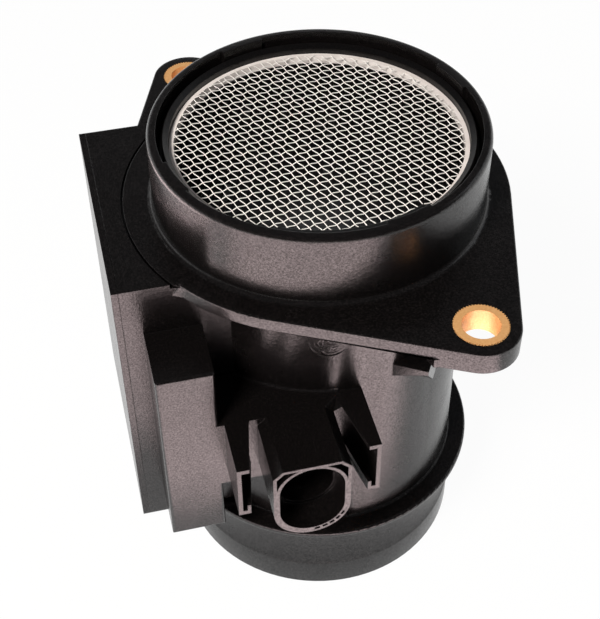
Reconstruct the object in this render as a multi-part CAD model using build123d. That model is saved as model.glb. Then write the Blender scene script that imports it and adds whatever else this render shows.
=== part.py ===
from build123d import *
from math import acos, cos, degrees, radians, sin, tan
import os

# Mass airflow sensor, millimetres. The duct axis is Z, with the outlet face at
# z = 0 and air entering at the top. The electronics box is on -X and the
# connector opens towards -Y.

# Collar at the inlet, above the flange and wider than the duct
collar_height = 17.3
rim_step = 2.8
rim_wall = 2.1
rim_crown = 0.7
rim_height = 2.8
collar_step = 0.8
collar_foot_fillet = 4.5

# Flange with two screw ears
flange_top_z = 105.6
flange_thickness = 3.2
flange_reach = 9.8
ear_radius = 9.8
ear_angle = -67.0
ear_pitch_diameter = 110.0
ear_boss_radius = 12.0
ear_boss_depth = 5.5
flange_edge_round = 0.4

# Duct and outlet spigot
body_radius = 35.2
duct_wall_thickness = 3.4
ledge_z = 26.3
lip_reach = 4.8
lip_thickness = 1.8
lip_round = 0.6
neck_step = 0.8
neck_fillet = 3.0
bead_step = 0.6
bead_height = 8.0
outlet_bore_step = 1.2
outlet_bore_depth = 20.0
outlet_cone_length = 7.0

# Threadless brass inserts in the ears
insert_diameter = 11.9
insert_bore_diameter = 8.2
insert_tooth_depth = 0.35
insert_tooth_count = 56
insert_proud = 0.1

# Inlet screen, its hoop and the ring that holds them
screen_depth = 5.5
screen_pitch = 5.4
screen_wire = 0.9
screen_thickness = 0.8
screen_below_hoop = 0.3
hoop_thickness = 1.0
hoop_height = 2.0
hoop_gap_start = -118.0
hoop_gap_end = -63.0
retainer_gap = 0.3
retainer_foot_width = 2.3
retainer_foot_height = 1.6
retainer_step = 0.8
retainer_height = 4.2
retainer_slope = 0.8
retainer_edge = 0.3
retainer_lip = 0.4
retainer_lip_sector = 58.0
retainer_lip_angle = -90.5
snap_count = 4
snap_angle = 17.0
snap_sector = 17.0
snap_width = 0.8
slip_clearance = 0.1

# Electronics box on the side of the duct
box_left_x = -51.1
box_inner_x = -24.0
box_front_y = -23.8
box_rear_y = 33.0
box_bottom_z = 27.4
box_corner_radius = 1.4
tub_wall = 2.6
tub_floor_x = -38.4
cover_thickness = 1.6
cover_rim_height = 1.2
cover_rim_width = 1.2
seal_width = 0.9
seal_depth = 0.8
seam_width = 0.5
seam_depth = 1.0

# Terminal channel beside the box
channel_left_x = -45.3
channel_right_x = -32.4
channel_front_y = -38.9
channel_bottom_z = 38.6
channel_top_z = 92.3
channel_round = 0.8

# Connector
connector_x = -15.0
connector_top_z = 75.0
connector_base_height = 20.5
shroud_half_width = 8.8
shroud_height = 23.6
shroud_length = 15.9
shroud_chamfer = 2.2
socket_half_width = 7.4
socket_top_wall = 0.9
socket_bottom_wall = 1.7
socket_depth = 14.0
socket_step_depth = 7.0
socket_step = 0.9
corner_pocket_depth = 4.0
corner_pocket_wall = 0.8
rib_recess_count = 5
rib_recess_depth = 0.8
shelf_fillet = 4.0

# Guard wings beside the connector
wing_outer = 16.2
wing_root_inner = 10.7
wing_tip_inner = 13.4
wing_length = 13.4
wing_height = 15.5
wing_web = 1.0
wing_flange = 1.2
wing_lip_height = 1.8
wing_lip_width = 0.8

# Moulded details on the duct wall
gate_pad_radius = 4.4
gate_pad_angle = -100.3
gate_pad_z = 91.0
gate_pad_depth = 0.3
lug_top_z = 79.5
lug_length = 8.4
lug_height = 9.0
lug_reach = 5.2
lug_start = (8.7, -34.1)
lug_angle = -31.0

# Sensor holder that reaches from the box into the duct
holder_z = 66.0
window_width = 13.0
window_height = 26.0
window_radius = 3.0
holder_base_width = 22.0
holder_base_height = 36.0
holder_base_thickness = 2.0
holder_neck_length = 7.2
holder_seal_width = 1.8
holder_seal_depth = 1.0
arm_width = 5.0
arm_height = 18.0
ring_height = 12.0
ring_wall = 1.8
fit_clearance = 0.1

# Metering duct on the axis
metering_radius = 8.0
metering_wall = 1.3
metering_length = 27.0
metering_mouth = 1.4

# Measuring plates
plate_length = 13.0
plate_height = 5.0
plate_thickness = 0.6
plate_spacing = 10.0
plate_seat_depth = 4.0
plate_clearance = 0.1
lead_width = 0.7
lead_thickness = 0.4

# Circuit in the box
base_plate_thickness = 1.5
base_plate_margin = 2.0
base_plate_window_width = 4.0
board_thickness = 0.8
board_width = 38.0
board_height = 46.0
board_y = 6.5
chip_size = 9.0
chip_height = 1.6
power_width = 6.6
power_height = 2.3
resistor_length = 2.0
resistor_width = 1.25
resistor_height = 0.5
resistor_count = 8
capacitor_length = 3.2
capacitor_width = 1.6
capacitor_height = 1.3
capacitor_count = 5
part_pitch = 4.2

# Terminals
terminal_count = 5
terminal_pitch = 3.2
terminal_width = 1.6
terminal_thickness = 0.8
terminal_run_y = -35.0
terminal_tip_inset = 3.5
terminal_box_x = -44.2
terminal_inner_y = -15.5
wire_diameter = 0.3
wire_gap = 1.4

# Places worked out from the sizes above
bore_radius = body_radius - duct_wall_thickness
outlet_bore_radius = bore_radius + outlet_bore_step
lip_radius = body_radius + lip_reach
neck_radius = body_radius + neck_step
bead_radius = neck_radius + bead_step
rim_radius = body_radius + rim_step
rim_bore_radius = rim_radius - rim_wall
collar_radius = rim_radius + collar_step
collar_rim_z = flange_top_z + collar_height
flange_radius = body_radius + flange_reach
screen_seat_z = collar_rim_z - screen_depth
retainer_foot_radius = rim_bore_radius - retainer_gap
retainer_outer_radius = retainer_foot_radius - retainer_step
retainer_inner_radius = retainer_foot_radius - retainer_foot_width
screen_radius = retainer_inner_radius - slip_clearance - hoop_thickness
retainer_lip_radius = screen_radius - retainer_lip
snap_radius = rim_bore_radius - snap_width
box_top_z = flange_top_z
tub_open_x = box_left_x + cover_thickness
ear_reach = ear_pitch_diameter / 2
shroud_front_y = channel_front_y - shroud_length
connector_base_z = connector_top_z - connector_base_height
socket_floor_y = shroud_front_y + socket_depth
socket_axis_z = connector_top_z - shroud_height / 2
shroud_centre_z = connector_top_z - shroud_height + shroud_half_width
screen_top_z = screen_seat_z + hoop_height
retainer_top_z = screen_seat_z + retainer_height
holder_base_x = tub_floor_x - holder_base_thickness
base_plate_x = holder_base_x - base_plate_thickness
board_x = base_plate_x - board_thickness
plate_root_x = -metering_radius - ring_wall - plate_seat_depth
eps = 0.01


def block(x0, x1, y0, y1, z0, z1):
    """A box between two corners."""
    return Pos((x0 + x1) / 2, (y0 + y1) / 2, (z0 + z1) / 2) * Box(x1 - x0, y1 - y0, z1 - z0)


def rod(radius, z0, z1, x=0.0, y=0.0):
    """An upright cylinder."""
    return Pos(x, y, (z0 + z1) / 2) * Cylinder(radius, z1 - z0)


def tube(outer, inner, z0, z1):
    """An upright ring."""
    return rod(outer, z0, z1) - rod(inner, z0 - 1, z1 + 1)


def turned(points):
    """A solid turned round Z from points given as radius and height."""
    outline = Polyline(*[(r, 0, z) for r, z in points], close=True)
    return revolve(make_face(outline), Axis.Z)


def sector(radius, z0, z1, start, end):
    """A slice of a disc between two angles in degrees."""
    step = (end - start) / 4
    reach = radius / cos(radians(abs(step) / 2))
    rim = [(reach * cos(radians(start + step * i)), reach * sin(radians(start + step * i))) for i in range(5)]
    face = make_face(Polyline((0, 0), *rim, close=True))
    return Pos(0, 0, z0) * extrude(face, z1 - z0)


def on_wall(angle, radius, z):
    """A plane that touches an upright wall, with its normal pointing out."""
    direction = Vector(cos(radians(angle)), sin(radians(angle)), 0)
    return Plane(origin=direction * radius + Vector(0, 0, z), z_dir=direction, x_dir=(-direction.Y, direction.X, 0))


def ear_centre(side):
    angle = radians(ear_angle)
    return Vector(side * ear_reach * cos(angle), side * ear_reach * sin(angle))


def flange_outline():
    """A disc with two ears on straight tangents."""
    outline = Circle(flange_radius)
    spread = degrees(acos((flange_radius - ear_radius) / ear_reach))
    for side in (1, -1):
        turn = ear_angle if side > 0 else ear_angle + 180
        centre = ear_centre(side)
        corners = []
        for sign in (1, -1):
            normal = Vector(cos(radians(turn + sign * spread)), sin(radians(turn + sign * spread)))
            pair = [normal * flange_radius, centre + normal * ear_radius]
            corners += pair if sign > 0 else pair[::-1]
        web = make_face(Polyline(*[(p.X, p.Y) for p in corners], close=True))
        outline += web
        outline += Pos(centre.X, centre.Y) * Circle(ear_radius)
    return outline


def flange():
    """The flange plate with a thicker boss below each ear."""
    outline = flange_outline()
    bottom_z = flange_top_z - flange_thickness
    plate = Pos(0, 0, bottom_z) * extrude(outline, flange_thickness)
    plate = chamfer_free_round(plate, flange_top_z, flange_edge_round)
    deep = Pos(0, 0, flange_top_z - ear_boss_depth) * extrude(outline, ear_boss_depth - flange_edge_round)
    for side in (1, -1):
        centre = ear_centre(side)
        column = rod(ear_boss_radius, flange_top_z - ear_boss_depth, flange_top_z, centre.X, centre.Y)
        plate += deep & column
    return plate


def chamfer_free_round(solid, z, radius):
    """Rounds the upper outline of a plate."""
    return fillet(solid.edges().filter_by(lambda e: abs(e.center().Z - z) < eps and abs(e.bounding_box().size.Z) < eps), radius)


def duct_wall():
    """The outer form of the duct, turned in one piece from spigot to rim."""
    rim_foot_z = collar_rim_z - rim_height
    flange_mid_z = flange_top_z - flange_thickness / 2
    lip_bottom_z = ledge_z - lip_thickness
    outline = Polyline(
        (0, 0, 0),
        (bead_radius, 0, 0),
        (bead_radius, 0, bead_height),
        (neck_radius, 0, bead_height + 2 * (bead_radius - neck_radius)),
        (neck_radius, 0, lip_bottom_z),
        (lip_radius, 0, lip_bottom_z),
        (lip_radius, 0, ledge_z),
        (body_radius, 0, ledge_z),
        (body_radius, 0, flange_mid_z),
        (collar_radius, 0, flange_mid_z),
        (collar_radius, 0, rim_foot_z),
        (rim_radius, 0, rim_foot_z),
        (rim_radius, 0, collar_rim_z),
        (rim_bore_radius, 0, collar_rim_z + rim_crown),
        (0, 0, collar_rim_z + rim_crown),
        close=True,
    )
    solid = revolve(make_face(outline), Axis.Z)
    rounds = [
        (bead_radius, bead_height, 0.5),
        (neck_radius, lip_bottom_z, neck_fillet),
        (lip_radius, lip_bottom_z, lip_round),
        (lip_radius, ledge_z, lip_round),
        (body_radius, ledge_z, lip_round),
        (rim_radius, collar_rim_z, 0.3),
    ]
    for radius, z, size in rounds:
        solid = fillet(circles(solid, radius, z), size)
    return solid


def circles(solid, radius, z):
    """The full circular edges with a given radius at a given height."""
    found = solid.edges().filter_by(GeomType.CIRCLE)
    return found.filter_by(lambda e: abs(e.radius - radius) < eps and abs(e.arc_center.Z - z) < eps)


def duct_bore():
    """The air way, with the recess that takes the screen."""
    cone_top_z = outlet_bore_depth + outlet_cone_length
    return turned(
        [
            (0, -1),
            (outlet_bore_radius, -1),
            (outlet_bore_radius, outlet_bore_depth),
            (bore_radius, cone_top_z),
            (bore_radius, screen_seat_z),
            (rim_bore_radius, screen_seat_z),
            (rim_bore_radius, collar_rim_z + rim_crown + 1),
            (0, collar_rim_z + rim_crown + 1),
        ]
    )


def collar_foot():
    """The wide concave round where the collar meets the flange."""
    r = collar_radius
    z = flange_top_z
    f = collar_foot_fillet
    corner = Line((r - 1, 0, z - eps), (r + f, 0, z - eps))
    arc = TangentArc((r + f, 0, z), (r, 0, z + f), tangent=(-1, 0, 0))
    rise = Line((r + f, 0, z - eps), (r + f, 0, z))
    back = Polyline((r, 0, z + f), (r - 1, 0, z + f), (r - 1, 0, z - eps))
    return revolve(make_face(Curve() + [corner, rise, arc, back]), Axis.Z)


def snap_tabs():
    """Thicker stretches of the rim that hold the retaining ring down."""
    foot_z = screen_seat_z + retainer_foot_height + slip_clearance
    ring = turned(
        [
            (snap_radius, foot_z),
            (rim_bore_radius + 0.5, foot_z),
            (rim_bore_radius + 0.5, collar_rim_z + rim_crown - 0.3),
            (snap_radius, collar_rim_z + rim_crown),
        ]
    )
    tabs = []
    for i in range(snap_count):
        middle = snap_angle + 360 / snap_count * i
        cut = sector(rim_radius, foot_z - 1, collar_rim_z + 2, middle - snap_sector / 2, middle + snap_sector / 2)
        tabs.append(ring & cut)
    return tabs


def box_block():
    """The outside of the electronics tub."""
    solid = block(tub_open_x, box_inner_x, box_front_y, box_rear_y, box_bottom_z, box_top_z)
    edges = solid.edges().filter_by(Axis.X).group_by(Axis.Z)[0]
    return fillet(edges, box_corner_radius)


def tub_cavity():
    """The room for the circuit, open towards the cover."""
    solid = block(
        tub_open_x - 1,
        tub_floor_x,
        box_front_y + tub_wall,
        box_rear_y - tub_wall,
        box_bottom_z + tub_wall,
        box_top_z - tub_wall,
    )
    return fillet(solid.edges().filter_by(Axis.X), box_corner_radius)


def seal_ring(width, x0, x1):
    """A frame that runs along the middle of the tub wall."""
    middle = tub_wall / 2
    outer = middle - width / 2
    inner = middle + width / 2
    big = block(x0, x1, box_front_y + outer, box_rear_y - outer, box_bottom_z + outer, box_top_z - outer)
    small = block(x0 - 1, x1 + 1, box_front_y + inner, box_rear_y - inner, box_bottom_z + inner, box_top_z - inner)
    return big - small


def box_seam():
    """The fine groove that follows the flange disc across the box."""
    ring = tube(flange_radius + seam_width / 2, flange_radius - seam_width / 2, box_top_z - seam_depth, box_top_z + 1)
    over_box = block(tub_open_x - 1, box_inner_x, box_front_y - 1, box_rear_y + 1, box_top_z - 5, box_top_z + 2)
    return ring & over_box


def mounting_bosses():
    """Low bosses on the tub floor that carry the base plate."""
    inset = tub_wall + base_plate_margin + 3
    bosses = []
    for y in (box_front_y + inset, box_rear_y - inset):
        for z in (box_bottom_z + inset, box_top_z - inset):
            turn = Pos((tub_floor_x + holder_base_x) / 2, y, z) * Rot(0, 90, 0)
            bosses.append(turn * Cylinder(2.0, holder_base_thickness))
    return bosses


def terminal_channel():
    """The upright block that carries the terminals into the box."""
    solid = block(channel_left_x, channel_right_x, channel_front_y, box_front_y + 1, channel_bottom_z, channel_top_z)
    front = solid.faces().sort_by(Axis.Y)[0]
    return fillet(front.edges(), channel_round)


def connector_base():
    """The block between the duct, the terminal channel and the connector."""
    right_x = connector_x + wing_outer
    back_y = -bore_radius * cos(radians(70))
    solid = block(channel_right_x - 1, right_x, channel_front_y, back_y, connector_base_z, connector_top_z)
    return solid


def shelf_round():
    """The concave round where the duct wall rises from the connector's top."""
    r = body_radius
    z = connector_top_z
    f = shelf_fillet
    arc = TangentArc((r + f, 0, z), (r, 0, z + f), tangent=(-1, 0, 0))
    rest = Polyline((r, 0, z + f), (r - 1, 0, z + f), (r - 1, 0, z - 1), (r + f, 0, z - 1), (r + f, 0, z))
    ring = revolve(make_face(Curve() + [arc, rest]), Axis.Z)
    room = block(channel_right_x, connector_x + wing_root_inner, channel_front_y, 0, z - 1, z + f + 1)
    return ring & room


def shroud_outline():
    """A flat-topped D with two cut corners, drawn in X and Z."""
    w = shroud_half_width
    top = connector_top_z
    c = shroud_chamfer
    low = shroud_centre_z
    left = (connector_x - w, 0, low)
    right = (connector_x + w, 0, low)
    sides = Polyline(
        left,
        (connector_x - w, 0, top - c),
        (connector_x - w + c, 0, top),
        (connector_x + w - c, 0, top),
        (connector_x + w, 0, top - c),
        right,
    )
    bowl = ThreePointArc(right, (connector_x, 0, low - w), left)
    return make_face(Curve() + [sides, bowl])


def socket_outline(inset=0.0):
    """The long round opening of the socket, drawn in X and Z."""
    r = socket_half_width - inset
    high = connector_top_z - socket_top_wall - socket_half_width
    low = connector_top_z - shroud_height + socket_bottom_wall + socket_half_width
    left = Line((connector_x - r, 0, low), (connector_x - r, 0, high))
    cap = ThreePointArc((connector_x - r, 0, high), (connector_x, 0, high + r), (connector_x + r, 0, high))
    right = Line((connector_x + r, 0, high), (connector_x + r, 0, low))
    bowl = ThreePointArc((connector_x + r, 0, low), (connector_x, 0, low - r), (connector_x - r, 0, low))
    return make_face(Curve() + [left, cap, right, bowl])


def along_y(face, y0, y1):
    """Stretches a face drawn in X and Z between two depths."""
    return Pos(0, y0, 0) * extrude(face, y1 - y0, dir=(0, 1, 0))


def shroud():
    return along_y(shroud_outline(), shroud_front_y, channel_front_y + 1)


def socket():
    """The room for the plug, with a step where its seal ends."""
    step_y = shroud_front_y + socket_step_depth
    wide = along_y(socket_outline(), shroud_front_y - 1, step_y)
    narrow = along_y(socket_outline(socket_step), step_y - eps, socket_floor_y)
    return wide + narrow


def corner_pockets():
    """Shallow cored pockets in the two thick upper corners of the mouth."""
    outer = offset(shroud_outline(), -corner_pocket_wall)
    inner = offset(socket_outline(), corner_pocket_wall)
    pocket = along_y(outer - inner, shroud_front_y - 1, shroud_front_y + corner_pocket_depth)
    upper = block(
        connector_x - shroud_half_width,
        connector_x + shroud_half_width,
        shroud_front_y - 2,
        channel_front_y,
        connector_top_z - socket_half_width,
        connector_top_z,
    )
    return pocket & upper


def rim_recesses():
    """Small recesses round the lower right of the mouth."""
    low = connector_top_z - shroud_height + socket_bottom_wall + socket_half_width
    radius = (socket_half_width + shroud_half_width) / 2
    cuts = []
    for i in range(rib_recess_count):
        angle = -82 + 13 * i
        place = Pos(connector_x, shroud_front_y, low) * Rot(0, -angle, 0) * Pos(radius, 0, 0)
        cuts.append(place * Box(0.6, 2 * rib_recess_depth, 1.2))
    return cuts


def wing(side):
    """One guard wing: a channel that opens towards the shroud."""
    tip_y = channel_front_y - wing_length
    bottom_z = connector_top_z - wing_height
    plan = [
        (connector_x + side * wing_outer, channel_front_y + 1),
        (connector_x + side * wing_outer, tip_y),
        (connector_x + side * wing_tip_inner, tip_y),
        (connector_x + side * wing_root_inner, channel_front_y),
        (connector_x + side * wing_root_inner, channel_front_y + 1),
    ]
    solid = Pos(0, 0, bottom_z) * extrude(make_face(Polyline(*plan, close=True)), wing_height)
    web_x = connector_x + side * (wing_outer - wing_web)
    far_x = connector_x
    floor_z = bottom_z + wing_flange
    roof_z = connector_top_z - wing_flange
    hollow = block(min(web_x, far_x), max(web_x, far_x), tip_y - 1, channel_front_y, floor_z, roof_z)
    lip_plan = [
        (connector_x + side * wing_tip_inner, tip_y),
        (connector_x + side * (wing_tip_inner + wing_lip_width), tip_y),
        (connector_x + side * (wing_root_inner + wing_lip_width), channel_front_y + 1),
        (connector_x + side * wing_root_inner, channel_front_y + 1),
    ]
    lip = Pos(0, 0, bottom_z) * extrude(make_face(Polyline(*lip_plan, close=True)), wing_flange + wing_lip_height)
    return solid - hollow + lip


def gate_pad():
    """A shallow round recess in the duct wall below the flange."""
    plane = on_wall(gate_pad_angle, body_radius - gate_pad_depth, gate_pad_z)
    return plane * Pos(0, 0, 2) * Cylinder(gate_pad_radius, 4)


def wall_lug():
    """A wedge on the duct wall: a flat top that runs out downwards."""
    along = Vector(cos(radians(lug_angle)), sin(radians(lug_angle)))
    start = Vector(*lug_start)
    end = start + along * lug_length
    inward = Vector(-along.Y, along.X) * (lug_reach + 4)
    top = [start, end, end + inward, start + inward]
    face = make_face(Polyline(*[(p.X, p.Y) for p in top], close=True))
    solid = Pos(0, 0, lug_top_z - lug_height) * extrude(face, lug_height)
    slope = Plane(origin=(end.X, end.Y, lug_top_z - 1.2), x_dir=(along.X, along.Y, 0), z_dir=(inward.X, inward.Y, 7.5))
    return split(solid, slope, keep=Keep.TOP)


def sensor_window(inset=0.0):
    """The rounded opening for the sensor holder, drawn in Y and Z."""
    shape = RectangleRounded(window_width - 2 * inset, window_height - 2 * inset, window_radius - inset)
    return Plane(origin=(0, 0, holder_z), x_dir=(0, 1, 0), z_dir=(1, 0, 0)) * shape


def along_x(face, x0, x1):
    """Stretches a face drawn in Y and Z between two places on X."""
    return Pos(x0, 0, 0) * extrude(face, x1 - x0, dir=(1, 0, 0))


def terminal_z(i):
    return socket_axis_z + (i - (terminal_count - 1) / 2) * terminal_pitch


def terminal_blade(i):
    """A flat blade bent twice on its way from the socket to the box."""
    z = terminal_z(i)
    half = terminal_width / 2
    z0 = z - terminal_thickness / 2
    z1 = z + terminal_thickness / 2
    tip_y = shroud_front_y + terminal_tip_inset
    pin = block(connector_x - half, connector_x + half, tip_y, terminal_run_y + half, z0, z1)
    tip = pin.faces().sort_by(Axis.Y)[0]
    pin = chamfer(tip.edges().filter_by(Axis.X), terminal_thickness * 0.3)
    run = block(terminal_box_x - half, connector_x + half, terminal_run_y - half, terminal_run_y + half, z0, z1)
    tail = block(terminal_box_x - half, terminal_box_x + half, terminal_run_y - half, terminal_inner_y, z0, z1)
    return pin + run + tail


def flow_housing():
    """The one moulding that holds everything else."""
    solid = duct_wall() + flange() + collar_foot()
    solid += box_block()
    solid += terminal_channel()
    solid += connector_base()
    solid += shelf_round()
    solid += shroud()
    for side in (1, -1):
        solid += wing(side)
    solid += wall_lug()
    solid -= duct_bore()
    for tab in snap_tabs():
        solid += tab
    solid -= tub_cavity()
    for boss in mounting_bosses():
        solid += boss
    solid -= seal_ring(seal_width, tub_open_x - 1, tub_open_x + seal_depth)
    solid -= box_seam()
    solid -= gate_pad()
    solid -= along_x(sensor_window(), tub_floor_x - 1, 0)
    solid -= socket()
    solid -= corner_pockets()
    for cut in rim_recesses():
        solid -= cut
    for side in (1, -1):
        centre = ear_centre(side)
        solid -= rod(insert_diameter / 2, flange_top_z - ear_boss_depth - 1, flange_top_z + 1, centre.X, centre.Y)
    for i in range(terminal_count):
        solid -= terminal_blade(i)
    return solid


def ear_insert(side):
    """A knurled brass bush that takes the screw's clamping force."""
    centre = ear_centre(side)
    outer = insert_diameter / 2
    points = []
    for i in range(2 * insert_tooth_count):
        r = outer if i % 2 == 0 else outer - insert_tooth_depth
        turn = radians(180 / insert_tooth_count * i)
        points.append((r * cos(turn), r * sin(turn)))
    knurl = make_face(Polyline(*points, close=True)) - Circle(insert_bore_diameter / 2)
    height = ear_boss_depth + insert_proud
    return Pos(centre.X, centre.Y, flange_top_z - ear_boss_depth) * extrude(knurl, height)


def screen_hoop():
    """The split metal hoop that stiffens the edge of the screen."""
    outer = screen_radius + hoop_thickness
    ring = tube(outer, screen_radius, screen_seat_z, screen_top_z)
    return ring - sector(outer + 1, screen_seat_z - 1, screen_top_z + 1, hoop_gap_start, hoop_gap_end)


def inlet_screen():
    """The woven screen: crossing ridges with open gaps between them."""
    radius = screen_radius - fit_clearance
    z0 = screen_top_z - screen_below_hoop - screen_thickness
    disc = rod(radius, z0, z0 + screen_thickness)
    gap = screen_pitch - screen_wire
    reach = int(radius // screen_pitch) + 1
    clear = radius - screen_wire
    holes = []
    for i in range(-reach, reach + 1):
        for j in range(-reach, reach + 1):
            x = i * screen_pitch
            y = j * screen_pitch
            corner = ((abs(x) + gap / 2) ** 2 + (abs(y) + gap / 2) ** 2) ** 0.5
            if corner < clear:
                holes.append(Pos(x, y) * Rectangle(gap, gap))
    pattern = Sketch() + holes
    return disc - Pos(0, 0, z0 - 1) * extrude(pattern, screen_thickness + 2)


def screen_retainer():
    """The plastic ring that clips in over the hoop."""
    inner = retainer_inner_radius
    z0 = screen_seat_z
    foot_z = z0 + retainer_foot_height
    top = retainer_top_z
    ring = turned(
        [
            (inner, z0),
            (retainer_foot_radius, z0),
            (retainer_foot_radius, foot_z - retainer_edge),
            (retainer_foot_radius - retainer_edge, foot_z),
            (retainer_outer_radius, foot_z),
            (retainer_outer_radius, top - retainer_edge),
            (retainer_outer_radius - retainer_edge, top),
            (inner, top - retainer_slope),
        ]
    )
    lip = turned(
        [
            (retainer_lip_radius, screen_top_z + slip_clearance),
            (inner + 0.2, screen_top_z + slip_clearance),
            (inner + 0.2, top - retainer_slope),
            (retainer_lip_radius, top - retainer_slope - 0.2),
        ]
    )
    half = retainer_lip_sector / 2
    return ring + (lip & sector(rim_radius, z0, top + 1, retainer_lip_angle - half, retainer_lip_angle + half))


def electronics_cover():
    """The flat cover with a rim that locates it in the tub."""
    plate = block(box_left_x, tub_open_x, box_front_y, box_rear_y, box_bottom_z, box_top_z)
    low_edges = plate.edges().filter_by(Axis.X).group_by(Axis.Z)[0]
    plate = fillet(low_edges, box_corner_radius)
    outer = tub_wall + slip_clearance
    inner = outer + cover_rim_width
    x1 = tub_open_x + cover_rim_height
    big = block(tub_open_x, x1, box_front_y + outer, box_rear_y - outer, box_bottom_z + outer, box_top_z - outer)
    big = fillet(big.edges().filter_by(Axis.X), box_corner_radius)
    small = block(
        tub_open_x, x1 + 1, box_front_y + inner, box_rear_y - inner, box_bottom_z + inner, box_top_z - inner
    )
    return plate + (big - small)


def cover_seal():
    """The soft frame between the tub and the cover."""
    return seal_ring(seal_width, tub_open_x, tub_open_x + seal_depth)


def plate_z(which):
    return holder_z + which * plate_spacing / 2


def measuring_plate(which, grow=0.0):
    """A thin ceramic plate on edge to the air."""
    x0 = plate_root_x
    x1 = plate_root_x + plate_length
    z = plate_z(which)
    half_t = plate_thickness / 2 + grow
    half_h = plate_height / 2 + grow
    return block(x0, x1, -half_t, half_t, z - half_h, z + half_h)


def sensor_leads(grow=0.0):
    """Two flat conductors from each plate back to the board."""
    strips = []
    half_w = lead_width / 2 + grow
    half_t = lead_thickness / 2 + grow
    for which in (-1, 1):
        for step in (-1, 1):
            z = plate_z(which) + step * plate_height / 4
            strips.append(block(board_x, plate_root_x, -half_t, half_t, z - half_w, z + half_w))
    return strips


def holder_neck_face():
    return sensor_window(fit_clearance)


def holder_seal_band(x0):
    """The soft ring that fills the groove round the holder's neck."""
    outer = sensor_window()
    inner = sensor_window(fit_clearance + holder_seal_depth)
    return along_x(outer - inner, x0, x0 + holder_seal_width)


def holder_seal_x():
    return tub_floor_x + 1.4


def sensor_holder():
    """The moulded arm: base in the tub, neck in the wall, ring on the axis."""
    half_w = holder_base_width / 2
    half_h = holder_base_height / 2
    solid = block(holder_base_x, tub_floor_x, -half_w, half_w, holder_z - half_h, holder_z + half_h)
    solid = fillet(solid.edges().filter_by(Axis.X), 3.0)
    neck_x = tub_floor_x + holder_neck_length
    solid += along_x(holder_neck_face(), tub_floor_x, neck_x)
    ring_outer = metering_radius + fit_clearance + ring_wall
    arm_end = -metering_radius
    solid += block(neck_x - 1, arm_end, -arm_width / 2, arm_width / 2, holder_z - arm_height / 2, holder_z + arm_height / 2)
    solid += rod(ring_outer, holder_z - ring_height / 2, holder_z + ring_height / 2)
    solid -= rod(metering_radius + fit_clearance, holder_z - arm_height, holder_z + arm_height)
    solid -= holder_seal_band(holder_seal_x())
    for which in (-1, 1):
        solid -= measuring_plate(which, plate_clearance)
    for strip in sensor_leads(plate_clearance):
        solid -= strip
    return solid


def metering_duct():
    """The small tube on the axis with a flared inlet and a slot for the plates."""
    z0 = holder_z - metering_length / 2
    z1 = holder_z + metering_length / 2
    outer = metering_radius
    inner = metering_radius - metering_wall
    m = metering_mouth
    solid = turned(
        [
            (inner, z0),
            (outer, z0),
            (outer, z1 - 3 * m),
            (outer + m, z1 - m),
            (outer + m, z1 - 0.4),
            (outer + m - 0.4, z1),
            (outer + m - 0.9, z1),
            (inner, z1 - 3 * m),
        ]
    )
    for which in (-1, 1):
        z = plate_z(which)
        half = plate_height / 2 + 0.4
        solid -= block(-outer - 1, 0, -0.8, 0.8, z - half, z + half)
    return solid


def base_plate():
    """The aluminium plate that carries the board and spreads its heat."""
    inset = tub_wall + base_plate_margin
    solid = block(
        base_plate_x,
        holder_base_x,
        box_front_y + inset,
        box_rear_y - inset,
        box_bottom_z + inset,
        box_top_z - inset,
    )
    solid = fillet(solid.edges().filter_by(Axis.X), 2.0)
    return solid - circuit_window(base_plate_x, holder_base_x)


def circuit_window(x0, x1):
    """The slot in the plate and board for the sensor leads."""
    half_h = plate_spacing / 2 + plate_height
    half_w = base_plate_window_width / 2
    return block(x0 - 1, x1 + 1, -half_w, half_w, holder_z - half_h, holder_z + half_h)


def hybrid_board():
    """The ceramic board."""
    y0 = board_y - board_width / 2
    z0 = holder_z - board_height / 2
    solid = block(board_x, base_plate_x, y0, y0 + board_width, z0, z0 + board_height)
    return solid - circuit_window(board_x, base_plate_x)


def on_board(y, z, width, height, thickness):
    """A component body on the face of the board."""
    return block(board_x - thickness, board_x, y - width / 2, y + width / 2, z - height / 2, z + height / 2)


def signal_chip():
    return on_board(board_y + chip_size, holder_z + chip_size, chip_size, chip_size, chip_height)


def power_transistor():
    """A power transistor with its metal tab."""
    z = holder_z - power_width * 2
    body = on_board(board_y + chip_size, z, power_width, power_width, power_height)
    tab = on_board(board_y + chip_size, z + power_width / 2 + 0.9, power_width * 0.8, 1.8, 0.6)
    return body + tab


def chip_resistors():
    """A row of small resistors along the top of the board."""
    z = holder_z + board_height / 2 - 3
    start = board_y - part_pitch * (resistor_count - 1) / 2
    return [
        on_board(start + part_pitch * i, z, resistor_width, resistor_length, resistor_height)
        for i in range(resistor_count)
    ]


def chip_capacitors():
    """A row of small capacitors along the bottom of the board."""
    z = holder_z - board_height / 2 + 3
    start = board_y - part_pitch * (capacitor_count - 1) / 2
    return [
        on_board(start + part_pitch * i, z, capacitor_width, capacitor_length, capacitor_height)
        for i in range(capacitor_count)
    ]


def bond_wires():
    """Short wires from the tails of the terminals down to the board."""
    tail_x = terminal_box_x + terminal_width / 2
    board_edge_y = board_y - board_width / 2
    wires = []
    for i in range(terminal_count):
        z = terminal_z(i)
        y = board_edge_y + wire_gap / 2
        place = Pos((tail_x + board_x) / 2, y, z) * Rot(0, 90, 0)
        wires.append(place * Cylinder(wire_diameter / 2, board_x - tail_x))
    return wires


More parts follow.
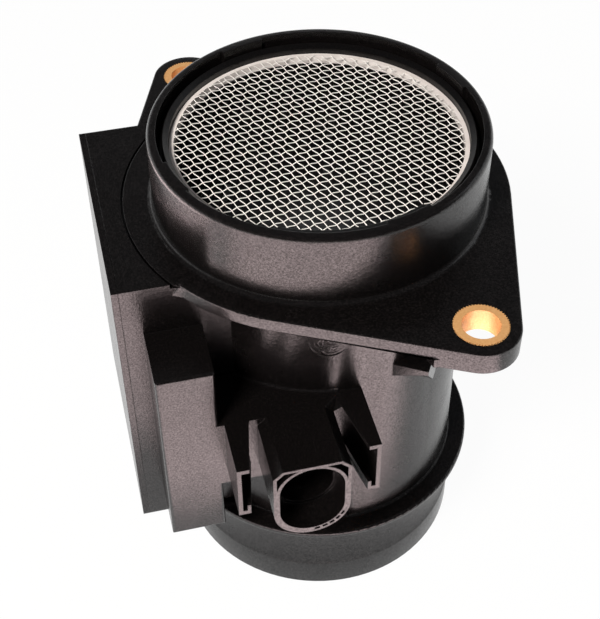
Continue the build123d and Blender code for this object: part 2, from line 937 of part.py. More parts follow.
parts = {
    "flow_housing": flow_housing(),
    "insert_front": ear_insert(1),
    "insert_rear": ear_insert(-1),
    "screen_hoop": screen_hoop(),
    "inlet_screen": inlet_screen(),
    "screen_retainer": screen_retainer(),
    "electronics_cover": electronics_cover(),
    "cover_seal": cover_seal(),
    "sensor_holder": sensor_holder(),
    "holder_seal": holder_seal_band(holder_seal_x()),
    "metering_duct": metering_duct(),
    "hot_film_plate": measuring_plate(-1),
    "reference_plate": measuring_plate(1),
    "sensor_leads": Compound(children=sensor_leads()),
    "base_plate": base_plate(),
    "hybrid_board": hybrid_board(),
    "signal_chip": signal_chip(),
    "power_transistor": power_transistor(),
    "chip_resistors": Compound(children=chip_resistors()),
    "chip_capacitors": Compound(children=chip_capacitors()),
    "bond_wires": Compound(children=bond_wires()),
}
for i in range(terminal_count):
    parts[f"terminal_blade_{i + 1}"] = terminal_blade(i)

os.makedirs("parts", exist_ok=True)
for name, shape in parts.items():
    export_step(shape, f"parts/{name}.step")
    print(name, round(shape.volume, 1))
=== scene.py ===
from math import acos, cos, pi, radians, sin

import bmesh
import bpy
from mathutils import Matrix, Vector
from mathutils import noise as mathNoise


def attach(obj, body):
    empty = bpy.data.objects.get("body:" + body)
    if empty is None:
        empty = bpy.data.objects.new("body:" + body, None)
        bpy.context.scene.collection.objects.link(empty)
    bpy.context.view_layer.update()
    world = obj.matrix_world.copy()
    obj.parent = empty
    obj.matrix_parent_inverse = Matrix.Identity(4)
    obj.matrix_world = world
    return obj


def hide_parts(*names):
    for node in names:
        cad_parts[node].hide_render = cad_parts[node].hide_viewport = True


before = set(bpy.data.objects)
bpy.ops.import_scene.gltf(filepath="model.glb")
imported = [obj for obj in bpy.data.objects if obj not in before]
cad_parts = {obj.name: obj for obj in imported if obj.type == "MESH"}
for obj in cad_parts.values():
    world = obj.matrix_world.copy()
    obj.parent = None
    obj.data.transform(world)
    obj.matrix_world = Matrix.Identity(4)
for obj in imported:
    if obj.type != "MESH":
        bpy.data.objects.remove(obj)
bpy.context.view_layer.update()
print("frame loaded:", len(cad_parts), "nodes")

mm = 0.001
weldDistance = 0.002 * mm      # corners closer than this are one corner
bladeNodes = ["terminal_blade_%d" % i for i in range(1, 6)]


# small helpers

def hexColour(code):
    # sRGB hex to the linear values that shaders and lamps want
    channels = [int(code[i:i + 2], 16) / 255 for i in (1, 3, 5)]
    linear = [c / 12.92 if c <= 0.04045 else ((c + 0.055) / 1.055) ** 2.4 for c in channels]
    return (*linear, 1.0)


def addNode(tree, kind, inputs=None, **settings):
    # one node with its settings, and a value or a link for each socket named
    node = tree.nodes.new(kind)
    for name, value in settings.items():
        setattr(node, name, value)
    for socket, value in (inputs or {}).items():
        if isinstance(value, bpy.types.NodeSocket):
            tree.links.new(value, node.inputs[socket])
        else:
            node.inputs[socket].default_value = value
    return node


def newMaterial(name):
    material = bpy.data.materials.new(name)
    material.use_nodes = True
    material.node_tree.nodes.clear()
    return material, material.node_tree


def finishMaterial(tree, surface):
    addNode(tree, "ShaderNodeOutputMaterial", {"Surface": surface})


def noise(tree, where, perMetre, detail=2.0, roughness=0.5):
    return addNode(tree, "ShaderNodeTexNoise", {
        "Vector": where, "Scale": perMetre, "Detail": detail, "Roughness": roughness})


# camera

camera = {
    "place": (-56.8 * mm, -220.7 * mm, 294.5 * mm),
    "heading": -13.295, "tilt": 44.91, "roll": -0.398,    # degrees
    "lens": 77.29, "sensor": 36.0,                        # mm
    "clipStart": 0.01,                                    # metres
}

view = bpy.data.cameras.new("view")
view.lens = camera["lens"]
view.sensor_fit = "HORIZONTAL"
view.sensor_width = camera["sensor"]
view.clip_start = camera["clipStart"]
viewObject = bpy.data.objects.new("view", view)
bpy.context.collection.objects.link(viewObject)
viewObject.matrix_world = (
    Matrix.Translation(camera["place"])
    @ Matrix.Rotation(radians(camera["heading"]), 4, "Z")
    @ Matrix.Rotation(radians(camera["tilt"]), 4, "X")
    @ Matrix.Rotation(radians(camera["roll"]), 4, "Z"))
bpy.context.scene.camera = viewObject
bpy.context.scene.view_settings.view_transform = "Standard"
print("camera set")


# studio: a pale floor, a room that is white behind the object and dim in front and above, and soft lamps

studio = {
    "floorSize": 6.0, "floorColour": "#f4f4f2", "floorGlow": 0.96,
    "backdropColour": "#ffffff", "ceilingColour": "#4c4c4e",
    "backdropTop": 0.10, "ceilingStart": 0.42,     # sine of the elevation
    "darkFrom": -0.35, "whiteFrom": 0.25,          # the room's front is dark, and its back is white
    "tableNear": 0.30, "tableFar": 0.62,           # metres in front, over which the bright table fades
}


def pathIs(tree, names):
    # 1 for any of these kinds of ray
    path = addNode(tree, "ShaderNodeLightPath")
    total = path.outputs[names[0]]
    for name in names[1:]:
        total = addNode(tree, "ShaderNodeMath", {0: total, 1: path.outputs[name]},
                        operation="MAXIMUM").outputs[0]
    return total


def buildWorld():
    world = bpy.data.worlds.new("studio")
    bpy.context.scene.world = world
    world.use_nodes = True
    tree = world.node_tree
    tree.nodes.clear()
    direction = addNode(tree, "ShaderNodeTexCoord").outputs["Generated"]
    parts = addNode(tree, "ShaderNodeSeparateXYZ", {"Vector": direction}).outputs
    upward = addNode(tree, "ShaderNodeMapRange", {
        "Value": parts["Z"], "From Min": studio["backdropTop"], "From Max": studio["ceilingStart"]},
        interpolation_type="SMOOTHSTEP").outputs["Result"]
    forward = addNode(tree, "ShaderNodeMapRange", {
        "Value": parts["Y"], "From Min": studio["whiteFrom"], "From Max": studio["darkFrom"]},
        interpolation_type="SMOOTHSTEP").outputs["Result"]
    ramp = addNode(tree, "ShaderNodeMath", {0: upward, 1: forward}, operation="MAXIMUM").outputs[0]
    room = addNode(tree, "ShaderNodeMix", {
        "Factor": ramp, "A": hexColour(studio["backdropColour"]), "B": hexColour(studio["ceilingColour"])},
        data_type="RGBA")
    seen = addNode(tree, "ShaderNodeMix", {
        "Factor": pathIs(tree, ["Is Camera Ray"]), "A": room.outputs["Result"],
        "B": hexColour(studio["backdropColour"])}, data_type="RGBA")
    light = addNode(tree, "ShaderNodeBackground", {"Color": seen.outputs["Result"], "Strength": 1.0})
    addNode(tree, "ShaderNodeOutputWorld", {"Surface": light.outputs[0]})


def buildFloor():
    mesh = bpy.data.meshes.new("floor")
    half = studio["floorSize"] / 2
    corners = [(-half, -half, 0), (half, -half, 0), (half, half, 0), (-half, half, 0)]
    mesh.from_pydata(corners, [], [(0, 1, 2, 3)])
    floor = bpy.data.objects.new("floor", mesh)
    bpy.context.collection.objects.link(floor)
    material, tree = newMaterial("paleFloor")
    paint = addNode(tree, "ShaderNodeBsdfDiffuse", {"Color": hexColour(studio["floorColour"])})
    glow = addNode(tree, "ShaderNodeEmission", {"Color": hexColour("#ffffff"), "Strength": 1.0})
    place = addNode(tree, "ShaderNodeTexCoord").outputs["Object"]
    front = addNode(tree, "ShaderNodeMapRange", {
        "Value": addNode(tree, "ShaderNodeSeparateXYZ", {"Vector": place}).outputs["Y"],
        "From Min": -studio["tableFar"], "From Max": -studio["tableNear"]}).outputs["Result"]
    mirrored = addNode(tree, "ShaderNodeMath", {
        0: pathIs(tree, ["Is Glossy Ray", "Is Transmission Ray"]), 1: front}, operation="MULTIPLY")
    seen = addNode(tree, "ShaderNodeMath", {
        0: pathIs(tree, ["Is Camera Ray"]), 1: mirrored.outputs[0]}, operation="MAXIMUM").outputs[0]
    share = addNode(tree, "ShaderNodeMath", {0: seen, 1: studio["floorGlow"]}, operation="MULTIPLY")
    both = addNode(tree, "ShaderNodeMixShader", {
        0: share.outputs[0], 1: paint.outputs[0], 2: glow.outputs[0]})
    finishMaterial(tree, both.outputs[0])
    mesh.materials.append(material)


def addLamp(name, place, target, width, height, watts, colour, mirrored):
    lamp = bpy.data.lights.new(name, "AREA")
    lamp.shape = "RECTANGLE"
    lamp.size = width
    lamp.size_y = height
    lamp.energy = watts
    lamp.color = hexColour(colour)[:3]
    lampObject = bpy.data.objects.new(name, lamp)
    bpy.context.collection.objects.link(lampObject)
    towards = Vector(target) - Vector(place)
    turn = towards.to_track_quat("-Z", "Y").to_matrix().to_4x4()
    lampObject.matrix_world = Matrix.Translation(place) @ turn
    lampObject.visible_camera = False
    lampObject.visible_glossy = mirrored


# the two glows lie on the table and face up, as the bright table top that the front faces mirror
lamps = [
    # name, place, target, width, height, watts, colour, seen in reflections
    ("tableGlow", (-0.135, -0.255, 0.004), (-0.135, -0.255, 1.0), 0.43, 0.37, 1.64, "#ffe0e0", True),
    ("leftGlow", (-0.36, 0.10, 0.004), (-0.36, 0.10, 1.0), 0.34, 0.3, 1.6, "#ffe2e2", True),
    ("keyBox", (-0.55, -0.55, 0.85), (0, 0, 0.08), 0.30, 0.30, 18.0, "#fffaf4", False),
    ("sideBox", (0.75, 0.15, 0.55), (0, 0, 0.08), 0.5, 0.3, 0.4, "#f8fbff", True),
]

buildWorld()
buildFloor()
for lamp in lamps:
    addLamp(*lamp)
print("studio built")


# finishes

nylonLook = {"ior": 1.53, "noiseFrom": 0.3, "noiseTo": 0.7, "bevelSamples": 4}


def mouldedNylon(name, look):
    # glass-filled nylon, moulded against a spark-eroded tool: near black and satin, with a grain of fibre ends
    material, tree = newMaterial(name)
    where = addNode(tree, "ShaderNodeTexCoord").outputs["Object"]
    grain = noise(tree, where, look["grainPerMetre"], 2.0, 0.6)
    coarse = noise(tree, where, look["coarsePerMetre"], 2.0)
    mottle = noise(tree, where, look["mottlePerMetre"], 3.0)
    flecks = addNode(tree, "ShaderNodeMapRange", {
        "Value": grain.outputs[0], "From Min": look["fibreFrom"][0], "From Max": look["fibreFrom"][1]})
    colour = addNode(tree, "ShaderNodeMix", {
        "Factor": flecks.outputs[0], "A": hexColour(look["colour"]), "B": hexColour(look["fibre"])},
        data_type="RGBA")
    rough = addNode(tree, "ShaderNodeMapRange", {
        "Value": mottle.outputs[0], "From Min": nylonLook["noiseFrom"], "From Max": nylonLook["noiseTo"],
        "To Min": look["roughness"][0], "To Max": look["roughness"][1]})
    relief = addNode(tree, "ShaderNodeMath", {0: grain.outputs[0], 1: coarse.outputs[0]}, operation="ADD")
    shine = addNode(tree, "ShaderNodeMapRange", {
        "Value": grain.outputs[0], "From Min": nylonLook["noiseFrom"], "From Max": nylonLook["noiseTo"],
        "To Min": look["shine"][0], "To Max": look["shine"][1]})
    rounded = addNode(tree, "ShaderNodeBevel", {"Radius": look["edgeRound"]},
                      samples=nylonLook["bevelSamples"])
    bump = addNode(tree, "ShaderNodeBump", {
        "Strength": 1.0, "Distance": look["bumpDepth"], "Height": relief.outputs[0],
        "Normal": rounded.outputs[0]})
    plastic = addNode(tree, "ShaderNodeBsdfPrincipled", {
        "Base Color": colour.outputs["Result"], "Roughness": rough.outputs[0], "IOR": nylonLook["ior"],
        "Specular IOR Level": shine.outputs[0], "Normal": bump.outputs[0]})
    finishMaterial(tree, plastic.outputs[0])
    return material


def metalFinish(name, look):
    # drawn, rolled or turned metal: one bright colour, and a fine relief that breaks up its reflections
    material, tree = newMaterial(name)
    where = addNode(tree, "ShaderNodeTexCoord").outputs["Object"]
    stretched = addNode(tree, "ShaderNodeMapping", {"Vector": where, "Scale": look["stretch"]})
    lines = noise(tree, stretched.outputs[0], look["linesPerMetre"], 2.0)
    tone = addNode(tree, "ShaderNodeMix", {
        "Factor": lines.outputs[0], "A": hexColour(look["dark"]), "B": hexColour(look["light"])},
        data_type="RGBA")
    bump = addNode(tree, "ShaderNodeBump", {
        "Strength": 1.0, "Distance": look["bumpDepth"], "Height": lines.outputs[0]})
    skin = addNode(tree, "ShaderNodeBsdfPrincipled", {
        "Base Color": tone.outputs["Result"], "Roughness": look["roughness"], "Metallic": look["metallic"],
        "Normal": bump.outputs[0]})
    finishMaterial(tree, skin.outputs[0])
    return material


def softFinish(name, look):
    # rubber, ceramic or moulded packages: an even colour with a faint cloud of tone
    material, tree = newMaterial(name)
    where = addNode(tree, "ShaderNodeTexCoord").outputs["Object"]
    cloud = noise(tree, where, look["cloudPerMetre"], 3.0)
    tone = addNode(tree, "ShaderNodeMix", {
        "Factor": cloud.outputs[0], "A": hexColour(look["dark"]), "B": hexColour(look["light"])},
        data_type="RGBA")
    bump = addNode(tree, "ShaderNodeBump", {
        "Strength": 1.0, "Distance": look["bumpDepth"], "Height": cloud.outputs[0]})
    skin = addNode(tree, "ShaderNodeBsdfPrincipled", {
        "Base Color": tone.outputs["Result"], "Roughness": look["roughness"], "Normal": bump.outputs[0]})
    finishMaterial(tree, skin.outputs[0])
    return material


def dress(material, *nodes):
    # nodes that a piece replaces further down get no finish here
    for node in nodes:
        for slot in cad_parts[node].material_slots:
            slot.material = material


housingNylon = mouldedNylon("blackGlassFilledNylon", {
    "colour": "#080707", "fibre": "#151212", "fibreFrom": (0.46, 0.70), "shine": (0.25, 0.74),
    "grainPerMetre": 2600.0,          # grain of about 0.38 mm
    "coarsePerMetre": 900.0,          # swells of about 1.1 mm
    "mottlePerMetre": 140.0,          # slow change of sheen over about 7 mm
    "roughness": (0.20, 0.28), "bumpDepth": 0.03 * mm, "edgeRound": 0.3 * mm})
smoothNylon = mouldedNylon("smoothBlackNylon", {
    "colour": "#060505", "fibre": "#141110", "fibreFrom": (0.60, 0.80), "shine": (0.30, 0.45),
    "grainPerMetre": 2600.0, "coarsePerMetre": 500.0, "mottlePerMetre": 200.0,
    "roughness": (0.30, 0.40), "bumpDepth": 0.008 * mm, "edgeRound": 0.2 * mm})
screenSteel = metalFinish("drawnStainlessWire", {
    "dark": "#ece6e0", "light": "#fffdfa", "roughness": 0.32, "metallic": 0.15,
    "stretch": (1, 1, 1), "linesPerMetre": 3000.0, "bumpDepth": 0.004 * mm})
hoopSteel = metalFinish("rolledStainlessStrip", {
    "dark": "#dcd2cc", "light": "#fbf5f2", "roughness": 0.30, "metallic": 0.15,
    "stretch": (0.2, 0.2, 4), "linesPerMetre": 1500.0, "bumpDepth": 0.006 * mm})
insertBrass = metalFinish("turnedBrass", {
    "dark": "#d59a5e", "light": "#f2bf84", "roughness": 0.40, "metallic": 0.3,
    "stretch": (1, 1, 1), "linesPerMetre": 2200.0, "bumpDepth": 0.012 * mm})
tinnedBrass = metalFinish("tinPlatedBrass", {
    "dark": "#aaa79f", "light": "#cfccc6", "roughness": 0.35, "metallic": 1.0,
    "stretch": (1, 1, 1), "linesPerMetre": 1800.0, "bumpDepth": 0.005 * mm})
rolledAluminium = metalFinish("rolledAluminium", {
    "dark": "#b5b6b8", "light": "#d9dadc", "roughness": 0.38, "metallic": 1.0,
    "stretch": (0.3, 0.3, 5), "linesPerMetre": 900.0, "bumpDepth": 0.006 * mm})
sealRubber = softFinish("mouldedRubber", {
    "dark": "#18181a", "light": "#26262a", "roughness": 0.7,
    "cloudPerMetre": 900.0, "bumpDepth": 0.01 * mm})
firedAlumina = softFinish("firedAlumina", {
    "dark": "#d6d4cc", "light": "#ecebe5", "roughness": 0.55,
    "cloudPerMetre": 1200.0, "bumpDepth": 0.005 * mm})
chipEpoxy = softFinish("mouldedEpoxy", {
    "dark": "#1a1b1d", "light": "#2b2c2f", "roughness": 0.5,
    "cloudPerMetre": 1600.0, "bumpDepth": 0.006 * mm})
capacitorCeramic = softFinish("bariumTitanate", {
    "dark": "#7d6248", "light": "#a08466", "roughness": 0.5,
    "cloudPerMetre": 1600.0, "bumpDepth": 0.005 * mm})

dress(housingNylon, "electronics_cover")
dress(smoothNylon, "screen_retainer", "sensor_holder", "metering_duct")
dress(insertBrass, "insert_front", "insert_rear")
dress(hoopSteel, "screen_hoop")
dress(sealRubber, "cover_seal", "holder_seal")
dress(firedAlumina, "hot_film_plate", "reference_plate", "hybrid_board")
dress(rolledAluminium, "base_plate", "bond_wires")
dress(chipEpoxy, "signal_chip", "power_transistor", "chip_resistors")
dress(capacitorCeramic, "chip_capacitors")
dress(tinnedBrass, "sensor_leads")
print("finishes given")


# housing: the moulding from the frame, with a finer collar turned on it and the flange's free edge drawn in

housing = {
    # lengths in mm, angles in degrees
    "cut": 105.59,                                    # just under the flange's upper face
    "outside": [(39.2, 105.59), (38.74, 105.68), (38.35, 105.94), (38.09, 106.33), (38.0, 106.8),
                (38.0, 122.3), (37.97, 122.6), (37.86, 122.95), (37.66, 123.28), (37.38, 123.5),
                (37.05, 123.58)],                     # radius and height, from the collar's foot to its rim
    "crown": 123.6, "recess": 35.9, "seat": 117.4, "bore": 31.8,
    "snapRadius": 35.1, "snapFoot": 119.1, "snapUndercut": 0.05,
    "snapMiddles": (17, 107, 197, 287), "snapHalf": 8.5, "snapEdge": 0.08,
    "steps": 180,
    "flangeRadius": 45.0, "flangeTrim": 1.2, "edgeReach": 0.6, "pastEdge": 0.3,
    "earReach": 55.0, "earTurn": -67.0, "earRadius": 9.8, "earTrim": 1.3,
    "flangeFoot": 99.9, "boxFront": -23.82, "boxRear": 33.02,
    "bodyRadius": 35.2, "shelfHeight": 75.0, "shelfRound": 4.0, "shelfTight": 0.8,
    "shelfFront": -20, "shelfSlack": 0.05, "shelfMargin": 0.01,
}


def collarAngles():
    edges = [middle + side * housing["snapHalf"] + shift * housing["snapEdge"]
             for middle in housing["snapMiddles"] for side in (-1, 1) for shift in (-1, 1)]
    return sorted([360 * i / housing["steps"] for i in range(housing["steps"])] + edges)


def collarProfile(angle):
    snapped = any(abs(angle - middle) < housing["snapHalf"] for middle in housing["snapMiddles"])
    inner = housing["snapRadius"] if snapped else housing["recess"]
    return housing["outside"] + [
        (inner, housing["crown"]), (inner, housing["snapFoot"]),
        (housing["recess"], housing["snapFoot"] - housing["snapUndercut"]),
        (housing["recess"], housing["seat"]), (housing["bore"], housing["seat"]),
        (housing["bore"], housing["cut"])]


def turnCollar(shape):
    rings = []
    for angle in collarAngles():
        turn = radians(angle)
        rings.append([shape.verts.new((r * mm * cos(turn), r * mm * sin(turn), z * mm))
                      for r, z in collarProfile(angle)])
    for i, ring in enumerate(rings):
        after = rings[(i + 1) % len(rings)]
        for k in range(len(ring)):
            m = (k + 1) % len(ring)
            shape.faces.new((ring[k], after[k], after[m], ring[m]))


def sharpenShelf(shape):
    # the wide round above the connector becomes a tight one
    wide, tight = housing["shelfRound"], housing["shelfTight"]
    slack, margin = housing["shelfSlack"], housing["shelfMargin"]
    for vert in shape.verts:
        fromAxis = Vector((vert.co.x, vert.co.y)).length
        reach = fromAxis / mm - housing["bodyRadius"]
        rise = vert.co.z / mm - housing["shelfHeight"]
        inFront = vert.co.y < housing["shelfFront"] * mm
        if inFront and -slack < reach < wide + margin and -margin < rise < wide + slack:
            across, up = 1 - reach / wide, 1 - rise / wide
            if abs(across * across + up * up - 1) < slack:
                scale = (housing["bodyRadius"] + tight * (1 - across)) * mm / fromAxis
                vert.co.x *= scale
                vert.co.y *= scale
                vert.co.z = (housing["shelfHeight"] + tight * (1 - up)) * mm


def trimFlange(shape):
    # draws in the flange's round, its ears and the straight edges between, but not what joins the box
    radius, near, past = housing["flangeRadius"], housing["edgeReach"], housing["pastEdge"]
    earTurn = radians(housing["earTurn"])
    ears = [Vector((side * housing["earReach"] * cos(earTurn),
                    side * housing["earReach"] * sin(earTurn))) for side in (1, -1)]
    spread = acos((radius - housing["earRadius"]) / housing["earReach"])
    turns = [earTurn + side + sign * spread for side in (0, pi) for sign in (-1, 1)]
    straights = [Vector((cos(turn), sin(turn))) for turn in turns]
    for vert in shape.verts:
        flat = Vector((vert.co.x, vert.co.y)) / mm
        beside = flat.x > 0 or flat.y < housing["boxFront"] or flat.y > housing["boxRear"]
        if vert.co.z < housing["flangeFoot"] * mm or not beside:
            continue
        lean = [edge for edge in straights if abs(flat.dot(edge) - radius) < near
                and abs(flat.length - radius) > near
                and min((flat - ear).length for ear in ears) > housing["earRadius"] + past]
        if lean:
            flat -= lean[0] * (housing["flangeTrim"] + housing["earTrim"]) / 2
            vert.co.x, vert.co.y = flat.x * mm, flat.y * mm
            continue
        for ear in ears:
            away = flat - ear
            if abs(away.length - housing["earRadius"]) < near and flat.length > radius + past:
                flat -= away.normalized() * housing["earTrim"]
                break
        else:
            if abs(flat.length - radius) < near:
                flat -= flat.normalized() * housing["flangeTrim"]
        vert.co.x, vert.co.y = flat.x * mm, flat.y * mm


def pieceFrom(shape, name, material, sharp=30):
    # a finished object from a bmesh, smooth except at edges sharper than the angle in degrees
    bmesh.ops.recalc_face_normals(shape, faces=shape.faces[:])
    mesh = bpy.data.meshes.new(name)
    shape.to_mesh(mesh)
    shape.free()
    # normals copied from the frame's mesh don't fit the changed shape
    for layer in [a for a in mesh.attributes if a.name in ("custom_normal", "sharp_edge", "sharp_face")]:
        mesh.attributes.remove(layer)
    mesh.polygons.foreach_set("use_smooth", [True] * len(mesh.polygons))
    mesh.set_sharp_from_angle(angle=radians(sharp))
    mesh.materials.clear()
    mesh.materials.append(material)
    piece = bpy.data.objects.new(name, mesh)
    bpy.context.collection.objects.link(piece)
    return piece


def copyOf(node):
    shape = bmesh.new()
    shape.from_mesh(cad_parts[node].data)
    bmesh.ops.remove_doubles(shape, verts=shape.verts[:], dist=weldDistance)
    return shape


cutTolerance = 1e-7      # metres


def cutAway(shape, place, normal):
    # keeps the side behind the plane and closes the cut
    everything = shape.verts[:] + shape.edges[:] + shape.faces[:]
    bmesh.ops.bisect_plane(shape, geom=everything, plane_co=place, plane_no=normal,
                           dist=cutTolerance, clear_outer=True)
    rim = [edge for edge in shape.edges if edge.is_boundary]
    bmesh.ops.triangle_fill(shape, edges=rim, use_beauty=True, normal=normal)


def openEdges(shape):
    return sum(1 for edge in shape.edges if not edge.is_manifold)


moulding = copyOf("flow_housing")
cutAway(moulding, (0, 0, housing["cut"] * mm), (0, 0, 1))
trimFlange(moulding)
sharpenShelf(moulding)
turnCollar(moulding)
print("housing faces:", len(moulding.faces), "open edges:", openEdges(moulding))
mouldedHousing = pieceFrom(moulding, "mouldedHousing", housingNylon)
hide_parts("flow_housing")
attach(mouldedHousing, "root")


# gate scar: the round pad below the flange, where the moulding was fed, left rough and swirled

gateScar = {
    "angle": -100.3,                                  # degrees round the duct
    "height": 91.0, "radius": 4.3, "wall": 34.95, "relief": 0.16, "fade": 0.5, "back": 0.5,     # mm
    "rings": 26, "steps": 72, "sharp": 50,
    "waves": 27.0, "arms": 2, "driftPerUnit": 0.55, "wobble": 8.8, "seed": 11.0,
}


def buildGateScar():
    shape = bmesh.new()
    facing = radians(gateScar["angle"])
    rows = []
    for i in range(1, gateScar["rings"] + 1):
        reach = gateScar["radius"] * i / gateScar["rings"]
        row = []
        for k in range(gateScar["steps"]):
            turn = 2 * pi * k / gateScar["steps"]
            across, up = reach * cos(turn), reach * sin(turn)
            drift = mathNoise.noise(Vector((
                across * gateScar["driftPerUnit"], up * gateScar["driftPerUnit"], gateScar["seed"])))
            wave = sin(gateScar["waves"] * reach / gateScar["radius"]
                       + turn * gateScar["arms"] + drift * gateScar["wobble"])
            fade = min(1.0, (gateScar["radius"] - reach) / gateScar["fade"])
            out = gateScar["wall"] + gateScar["relief"] * wave * fade
            angle = facing + across / gateScar["wall"]
            row.append(shape.verts.new((
                out * cos(angle) * mm, out * sin(angle) * mm, (gateScar["height"] + up) * mm)))
        rows.append(row)
    for near, far in zip(rows, rows[1:]):
        for k in range(len(near)):
            m = (k + 1) % len(near)
            shape.faces.new((near[k], far[k], far[m], near[m]))
    shape.faces.new(rows[0][::-1])
    edge = rows[-1]
    back = [shape.verts.new(vert.co * (1 - gateScar["back"] / gateScar["wall"])) for vert in edge]
    for vert, front in zip(back, edge):
        vert.co.z = front.co.z
    for k in range(len(edge)):
        m = (k + 1) % len(edge)
        shape.faces.new((edge[k], back[k], back[m], edge[m]))
    shape.faces.new(back)
    return pieceFrom(shape, "gateScar", housingNylon, gateScar["sharp"])


scar = buildGateScar()
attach(scar, "root")


# contacts: the blades, with their tips set back in the socket

contacts = {"tip": -42.0}      # mm, how far forward the tips reach

blades = bmesh.new()
for node in bladeNodes:
    blades.from_mesh(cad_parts[node].data)
bmesh.ops.remove_doubles(blades, verts=blades.verts[:], dist=weldDistance)
cutAway(blades, (0, contacts["tip"] * mm, 0), (0, -1, 0))
print("contact faces:", len(blades.faces), "open edges:", openEdges(blades))
contactBlades = pieceFrom(blades, "contactBlades", tinnedBrass)
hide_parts(*bladeNodes)
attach(contactBlades, "root")
print("housing built")


# woven screen: two families of crimped wires, over one and under one

screen = {
    "radius": 32.15 * mm, "height": 119.35 * mm,     # edge just inside the hoop, and the cloth's mid plane
    "wire": 0.23 * mm, "sides": 8, "stepsPerCrossing": 6,
    "steep": {"pitch": 1.7086 * mm, "normal": 20.72, "start": 0.0648 * mm, "crimp": 0.20 * mm},
    "shallow": {"pitch": 2.1618 * mm, "normal": 107.57, "start": -0.1911 * mm, "crimp": 0.18 * mm},
    "bendSharpness": 0.07,                           # share of the third wave
    "wander": 0.05 * mm, "wanderPerMetre": 45.0, "seed": 3.0,
    "leastReach": 1e-8,                              # square metres, so that every root is real
}


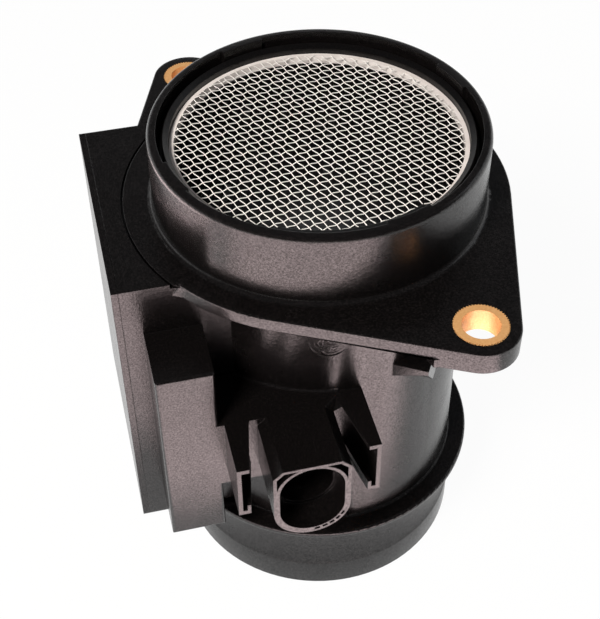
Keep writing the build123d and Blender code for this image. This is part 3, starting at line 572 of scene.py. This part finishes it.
def weaveTree(material):
    # parallel wires cut to a round disc, each rising and dipping over the wires that cross it
    tree = bpy.data.node_groups.new("wireFamily", "GeometryNodeTree")
    for name in ("Radius", "Height", "Wire", "Pitch", "Turn", "Start", "Crimp",
                 "Cross pitch", "Cross turn", "Cross start", "Parity", "Wander", "Wander scale", "Seed"):
        tree.interface.new_socket(name, in_out="INPUT", socket_type="NodeSocketFloat")
    for name in ("Count", "Points", "Sides"):
        tree.interface.new_socket(name, in_out="INPUT", socket_type="NodeSocketInt")
    tree.interface.new_socket("Geometry", in_out="OUTPUT", socket_type="NodeSocketGeometry")
    given = addNode(tree, "NodeGroupInput").outputs

    def sums(operation, a, b):
        return addNode(tree, "ShaderNodeMath", {0: a, 1: b}, operation=operation).outputs[0]

    def direction(turn):
        return addNode(tree, "ShaderNodeCombineXYZ", {
            "X": sums("COSINE", turn, 0.0), "Y": sums("SINE", turn, 0.0)}).outputs[0]

    def along(axis, where):
        return addNode(tree, "ShaderNodeVectorMath", {0: where, 1: axis},
                       operation="DOT_PRODUCT").outputs["Value"]

    across = direction(given["Turn"])
    crossAcross = direction(given["Cross turn"])
    run = direction(sums("ADD", given["Turn"], pi / 2))
    index = addNode(tree, "GeometryNodeInputIndex").outputs[0]
    middle = sums("DIVIDE", sums("SUBTRACT", given["Count"], 1.0), 2.0)
    place = sums("ADD", sums("MULTIPLY", sums("SUBTRACT", index, middle), given["Pitch"]), given["Start"])
    points = addNode(tree, "GeometryNodePoints", {
        "Count": given["Count"],
        "Position": addNode(tree, "ShaderNodeVectorMath", {0: across, "Scale": place},
                            operation="SCALE").outputs[0]})
    squared = sums("SUBTRACT", sums("MULTIPLY", given["Radius"], given["Radius"]),
                   sums("MULTIPLY", place, place))
    reach = sums("SQRT", sums("MAXIMUM", squared, screen["leastReach"]), 0.0)
    kept = addNode(tree, "GeometryNodeStoreNamedAttribute", {
        "Geometry": points.outputs[0], "Name": "reach", "Value": reach}, data_type="FLOAT", domain="POINT")
    straight = addNode(tree, "GeometryNodeCurvePrimitiveLine", {
        "Start": (-1.0, 0.0, 0.0), "End": (1.0, 0.0, 0.0)})
    divided = addNode(tree, "GeometryNodeResampleCurve", {
        "Curve": straight.outputs[0], "Count": given["Points"]})
    stretch = addNode(tree, "ShaderNodeCombineXYZ", {
        "X": addNode(tree, "GeometryNodeInputNamedAttribute", {"Name": "reach"},
                     data_type="FLOAT").outputs[0],
        "Y": 1.0, "Z": 1.0})
    turned = addNode(tree, "ShaderNodeCombineXYZ", {"Z": sums("ADD", given["Turn"], pi / 2)})
    wires = addNode(tree, "GeometryNodeInstanceOnPoints", {
        "Points": kept.outputs[0], "Instance": divided.outputs[0],
        "Rotation": turned.outputs[0], "Scale": stretch.outputs[0]})
    loose = addNode(tree, "GeometryNodeRealizeInstances", {"Geometry": wires.outputs[0]})
    where = addNode(tree, "GeometryNodeInputPosition").outputs[0]
    own = sums("DIVIDE", sums("SUBTRACT", along(across, where), given["Start"]), given["Pitch"])
    cross = sums("DIVIDE", sums("SUBTRACT", along(crossAcross, where), given["Cross start"]),
                 given["Cross pitch"])
    beat = sums("MULTIPLY", sums("ADD", sums("ADD", sums("ROUND", own, 0.0), cross), given["Parity"]), pi)
    # a wire runs nearly straight between crossings, so a small third wave sharpens the bends
    wave = sums("ADD", sums("COSINE", beat, 0.0),
                sums("MULTIPLY", sums("COSINE", sums("MULTIPLY", beat, 3.0), 0.0), screen["bendSharpness"]))
    lift = sums("ADD", sums("MULTIPLY", wave, given["Crimp"]), given["Height"])
    seeded = addNode(tree, "ShaderNodeVectorMath", {
        0: where, 1: addNode(tree, "ShaderNodeCombineXYZ", {"Z": given["Seed"]}).outputs[0]},
        operation="ADD")
    drift = addNode(tree, "ShaderNodeTexNoise", {
        "Vector": seeded.outputs[0], "Scale": given["Wander scale"], "Detail": 1.0})
    aside = sums("MULTIPLY", sums("SUBTRACT", drift.outputs[0], 0.5), given["Wander"])
    shift = addNode(tree, "ShaderNodeVectorMath", {0: across, "Scale": aside}, operation="SCALE").outputs[0]
    up = addNode(tree, "ShaderNodeCombineXYZ", {"Z": lift})
    moved = addNode(tree, "GeometryNodeSetPosition", {
        "Geometry": loose.outputs[0],
        "Offset": addNode(tree, "ShaderNodeVectorMath", {0: shift, 1: up.outputs[0]},
                          operation="ADD").outputs[0]})
    ring = addNode(tree, "GeometryNodeCurvePrimitiveCircle", {
        "Resolution": given["Sides"], "Radius": sums("MULTIPLY", given["Wire"], 0.5)})
    cloth = addNode(tree, "GeometryNodeCurveToMesh", {
        "Curve": moved.outputs[0], "Profile Curve": ring.outputs[0], "Fill Caps": True})
    smooth = addNode(tree, "GeometryNodeSetShadeSmooth", {"Geometry": cloth.outputs[0]})
    real = addNode(tree, "GeometryNodeRealizeInstances", {"Geometry": smooth.outputs[0]})
    dressed = addNode(tree, "GeometryNodeSetMaterial", {"Geometry": real.outputs[0], "Material": material})
    addNode(tree, "NodeGroupOutput", {"Geometry": dressed.outputs[0]})
    return tree


def weave(name, tree, family, other, parity):
    start = bpy.data.meshes.new(name)
    wires = bpy.data.objects.new(name, start)
    bpy.context.collection.objects.link(wires)
    modifier = wires.modifiers.new("weave", "NODES")
    modifier.node_group = tree
    count = 2 * int(screen["radius"] / family["pitch"]) + 1
    crossings = 2 * screen["radius"] / other["pitch"]
    values = {
        "Radius": screen["radius"], "Height": screen["height"], "Wire": screen["wire"],
        "Pitch": family["pitch"], "Turn": radians(family["normal"]), "Start": family["start"],
        "Crimp": family["crimp"], "Cross pitch": other["pitch"], "Cross turn": radians(other["normal"]),
        "Cross start": other["start"], "Parity": parity, "Wander": screen["wander"],
        "Wander scale": screen["wanderPerMetre"], "Seed": screen["seed"],
        "Count": count, "Points": int(crossings * screen["stepsPerCrossing"]), "Sides": screen["sides"]}
    sockets = {item.name: item.identifier for item in tree.interface.items_tree if item.in_out == "INPUT"}
    for key, value in values.items():
        modifier[sockets[key]] = value
    evaluated = wires.evaluated_get(bpy.context.evaluated_depsgraph_get())
    mesh = bpy.data.meshes.new_from_object(evaluated)
    wires.modifiers.clear()
    wires.data = mesh
    print("woven:", name, count, "wires,", len(mesh.polygons), "faces")
    return wires


wireTree = weaveTree(screenSteel)
steepWires = weave("steepWires", wireTree, screen["steep"], screen["shallow"], 0.0)
shallowWires = weave("shallowWires", wireTree, screen["shallow"], screen["steep"], 1.0)
for wires in (steepWires, shallowWires):
    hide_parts("inlet_screen")
    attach(wires, "root")
